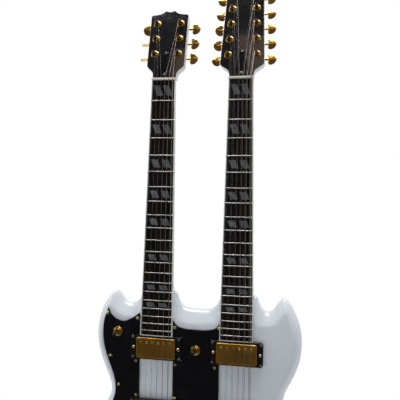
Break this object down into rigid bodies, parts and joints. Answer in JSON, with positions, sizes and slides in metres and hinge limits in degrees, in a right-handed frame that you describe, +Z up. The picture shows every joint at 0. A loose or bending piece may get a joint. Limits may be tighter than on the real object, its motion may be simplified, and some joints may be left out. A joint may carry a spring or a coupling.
{
  "type": "double-neck electric guitar",
  "caption": "Solid-body double-neck electric guitar: six-string neck beside a twelve-string neck on a bevelled double-cutaway body, left-handed layout.",
  "frame": {"origin": "centre of the outer flat face of the strap button at the bottom end of the body", "axes": "+Z up along the necks, -Y out of the front face, +X to the right seen from the front"},
  "size_m": [0.406, 0.1179, 0.9739],
  "materials": {
    "white_lacquered_wood": "thick glossy white lacquer over mahogany",
    "fretboard_wood": "oiled near-black wood with nickel-silver frets",
    "strings_and_nut": "plain and wound steel strings over a pale bone-like nut",
    "black_plastic": "gloss black laminated plastic",
    "steel": "bare steel",
    "gold_pickup": "gold-plated cover, polished",
    "gold_switch": "gold-plated, knurled",
    "gold_hardware": "gold-plated, polished",
    "lever_tip": "black plastic tip on a gold lever",
    "knob_black": "gloss black with a gold top"
  },
  "bodies": {
    "instrument": {"body": "white_lacquered_wood", "truss_rod_cover_6": "black_plastic", "tuner_bank_left_6": "gold_hardware", "tuner_bank_right_6": "gold_hardware", "neck_6": "white_lacquered_wood", "truss_rod_6": "steel", "fretboard_6": "fretboard_wood", "nut_with_strings_6": "strings_and_nut", "bridge_6": "gold_hardware", "tailpiece_6": "gold_hardware", "truss_rod_cover_12": "black_plastic", "tuner_bank_left_12": "gold_hardware", "tuner_bank_right_12": "gold_hardware", "neck_12": "white_lacquered_wood", "truss_rod_12": "steel", "fretboard_12": "fretboard_wood", "nut_with_strings_12": "strings_and_nut", "bridge_12": "gold_hardware", "tailpiece_12": "gold_hardware", "neck_pickup_6": "gold_pickup", "neck_pickup_6_ring": "black_plastic", "bridge_pickup_6": "gold_pickup", "bridge_pickup_6_ring": "black_plastic", "neck_pickup_12": "gold_pickup", "neck_pickup_12_ring": "black_plastic", "bridge_pickup_12": "gold_pickup", "bridge_pickup_12_ring": "black_plastic", "pickguard_left": "black_plastic", "pickguard_centre": "black_plastic", "toggle_switch_left": "gold_switch", "toggle_switch_centre": "gold_switch", "control_plate": "steel", "control_cover": "black_plastic", "output_jack": "gold_hardware", "strap_button_end": "gold_hardware", "strap_button_back": "gold_hardware"},
    "tuner_button_left_1_6": {"tuner_button_left_1_6": "gold_hardware"},
    "tuner_button_left_2_6": {"tuner_button_left_2_6": "gold_hardware"},
    "tuner_button_left_3_6": {"tuner_button_left_3_6": "gold_hardware"},
    "tuner_button_right_1_6": {"tuner_button_right_1_6": "gold_hardware"},
    "tuner_button_right_2_6": {"tuner_button_right_2_6": "gold_hardware"},
    "tuner_button_right_3_6": {"tuner_button_right_3_6": "gold_hardware"},
    "tuner_button_left_1_12": {"tuner_button_left_1_12": "gold_hardware"},
    "tuner_button_left_2_12": {"tuner_button_left_2_12": "gold_hardware"},
    "tuner_button_left_3_12": {"tuner_button_left_3_12": "gold_hardware"},
    "tuner_button_left_4_12": {"tuner_button_left_4_12": "gold_hardware"},
    "tuner_button_left_5_12": {"tuner_button_left_5_12": "gold_hardware"},
    "tuner_button_left_6_12": {"tuner_button_left_6_12": "gold_hardware"},
    "tuner_button_right_1_12": {"tuner_button_right_1_12": "gold_hardware"},
    "tuner_button_right_2_12": {"tuner_button_right_2_12": "gold_hardware"},
    "tuner_button_right_3_12": {"tuner_button_right_3_12": "gold_hardware"},
    "tuner_button_right_4_12": {"tuner_button_right_4_12": "gold_hardware"},
    "tuner_button_right_5_12": {"tuner_button_right_5_12": "gold_hardware"},
    "tuner_button_right_6_12": {"tuner_button_right_6_12": "gold_hardware"},
    "toggle_lever_left": {"toggle_lever_left": "lever_tip"},
    "toggle_lever_centre": {"toggle_lever_centre": "lever_tip"},
    "control_knob_1": {"control_knob_1": "knob_black"},
    "control_knob_2": {"control_knob_2": "knob_black"},
    "control_knob_3": {"control_knob_3": "knob_black"},
    "control_knob_4": {"control_knob_4": "knob_black"}
  },
  "joints": [
    {"name": "tuner_button_left_1_6_turn", "type": "hinge", "parent": "instrument", "child": "tuner_button_left_1_6", "pos_m": [-0.0879, 0.02755, 0.8083], "axis": [-1, 0.0002, 0.0044], "continuous": true},
    {"name": "tuner_button_left_2_6_turn", "type": "hinge", "parent": "instrument", "child": "tuner_button_left_2_6", "pos_m": [-0.08795, 0.03532, 0.83634], "axis": [-1, 0.0002, 0.0044], "continuous": true},
    {"name": "tuner_button_left_3_6_turn", "type": "hinge", "parent": "instrument", "child": "tuner_button_left_3_6", "pos_m": [-0.088, 0.0431, 0.86438], "axis": [-1, 0.0002, 0.0044], "continuous": true},
    {"name": "tuner_button_right_1_6_turn", "type": "hinge", "parent": "instrument", "child": "tuner_button_right_1_6", "pos_m": [-0.04623, 0.02754, 0.80812], "axis": [1, -0.0002, -0.0044], "continuous": true},
    {"name": "tuner_button_right_2_6_turn", "type": "hinge", "parent": "instrument", "child": "tuner_button_right_2_6", "pos_m": [-0.04593, 0.03531, 0.83616], "axis": [1, -0.0002, -0.0044], "continuous": true},
    {"name": "tuner_button_right_3_6_turn", "type": "hinge", "parent": "instrument", "child": "tuner_button_right_3_6", "pos_m": [-0.04563, 0.04309, 0.8642], "axis": [1, -0.0002, -0.0044], "continuous": true},
    {"name": "tuner_button_left_1_12_turn", "type": "hinge", "parent": "instrument", "child": "tuner_button_left_1_12", "pos_m": [0.04247, 0.02615, 0.80309], "axis": [-1, -0.0002, -0.0044], "continuous": true},
    {"name": "tuner_button_left_2_12_turn", "type": "hinge", "parent": "instrument", "child": "tuner_button_left_2_12", "pos_m": [0.04356, 0.03392, 0.83114], "axis": [-1, -0.0002, -0.0044], "continuous": true},
    {"name": "tuner_button_left_3_12_turn", "type": "hinge", "parent": "instrument", "child": "tuner_button_left_3_12", "pos_m": [0.04464, 0.0417, 0.85918], "axis": [-1, -0.0002, -0.0044], "continuous": true},
    {"name": "tuner_button_left_4_12_turn", "type": "hinge", "parent": "instrument", "child": "tuner_button_left_4_12", "pos_m": [0.04573, 0.04948, 0.88723], "axis": [-1, -0.0002, -0.0044], "continuous": true},
    {"name": "tuner_button_left_5_12_turn", "type": "hinge", "parent": "instrument", "child": "tuner_button_left_5_12", "pos_m": [0.04683, 0.05726, 0.91528], "axis": [-1, -0.0002, -0.0044], "continuous": true},
    {"name": "tuner_button_left_6_12_turn", "type": "hinge", "parent": "instrument", "child": "tuner_button_left_6_12", "pos_m": [0.04792, 0.06503, 0.94332], "axis": [-1, -0.0002, -0.0044], "continuous": true},
    {"name": "tuner_button_right_1_12_turn", "type": "hinge", "parent": "instrument", "child": "tuner_button_right_1_12", "pos_m": [0.0917, 0.02616, 0.80331], "axis": [1, 0.0002, 0.0044], "continuous": true},
    {"name": "tuner_button_right_2_12_turn", "type": "hinge", "parent": "instrument", "child": "tuner_button_right_2_12", "pos_m": [0.09037, 0.03393, 0.83134], "axis": [1, 0.0002, 0.0044], "continuous": true},
    {"name": "tuner_button_right_3_12_turn", "type": "hinge", "parent": "instrument", "child": "tuner_button_right_3_12", "pos_m": [0.08903, 0.04171, 0.85938], "axis": [1, 0.0002, 0.0044], "continuous": true},
    {"name": "tuner_button_right_4_12_turn", "type": "hinge", "parent": "instrument", "child": "tuner_button_right_4_12", "pos_m": [0.08769, 0.04949, 0.88741], "axis": [1, 0.0002, 0.0044], "continuous": true},
    {"name": "tuner_button_right_5_12_turn", "type": "hinge", "parent": "instrument", "child": "tuner_button_right_5_12", "pos_m": [0.08635, 0.05726, 0.91545], "axis": [1, 0.0002, 0.0044], "continuous": true},
    {"name": "tuner_button_right_6_12_turn", "type": "hinge", "parent": "instrument", "child": "tuner_button_right_6_12", "pos_m": [0.08502, 0.06504, 0.94349], "axis": [1, 0.0002, 0.0044], "continuous": true},
    {"name": "toggle_lever_left_turn", "type": "hinge", "parent": "instrument", "child": "toggle_lever_left", "pos_m": [-0.13849, -0.019, 0.32932], "axis": [1, 0, 0], "range_deg": [-12, 12]},
    {"name": "toggle_lever_centre_turn", "type": "hinge", "parent": "instrument", "child": "toggle_lever_centre", "pos_m": [0, -0.019, 0.30531], "axis": [0, 0, 1], "range_deg": [-12, 12]},
    {"name": "control_knob_1_turn", "type": "hinge", "parent": "instrument", "child": "control_knob_1", "pos_m": [-0.136, -0.019, 0.1493], "axis": [0, 1, 0], "range_deg": [-300, 0]},
    {"name": "control_knob_2_turn", "type": "hinge", "parent": "instrument", "child": "control_knob_2", "pos_m": [-0.16602, -0.019, 0.1273], "axis": [0, 1, 0], "range_deg": [-300, 0]},
    {"name": "control_knob_3_turn", "type": "hinge", "parent": "instrument", "child": "control_knob_3", "pos_m": [-0.136, -0.019, 0.1033], "axis": [0, 1, 0], "range_deg": [-300, 0]},
    {"name": "control_knob_4_turn", "type": "hinge", "parent": "instrument", "child": "control_knob_4", "pos_m": [-0.16602, -0.019, 0.0813], "axis": [0, 1, 0], "range_deg": [-300, 0]}
  ]
}
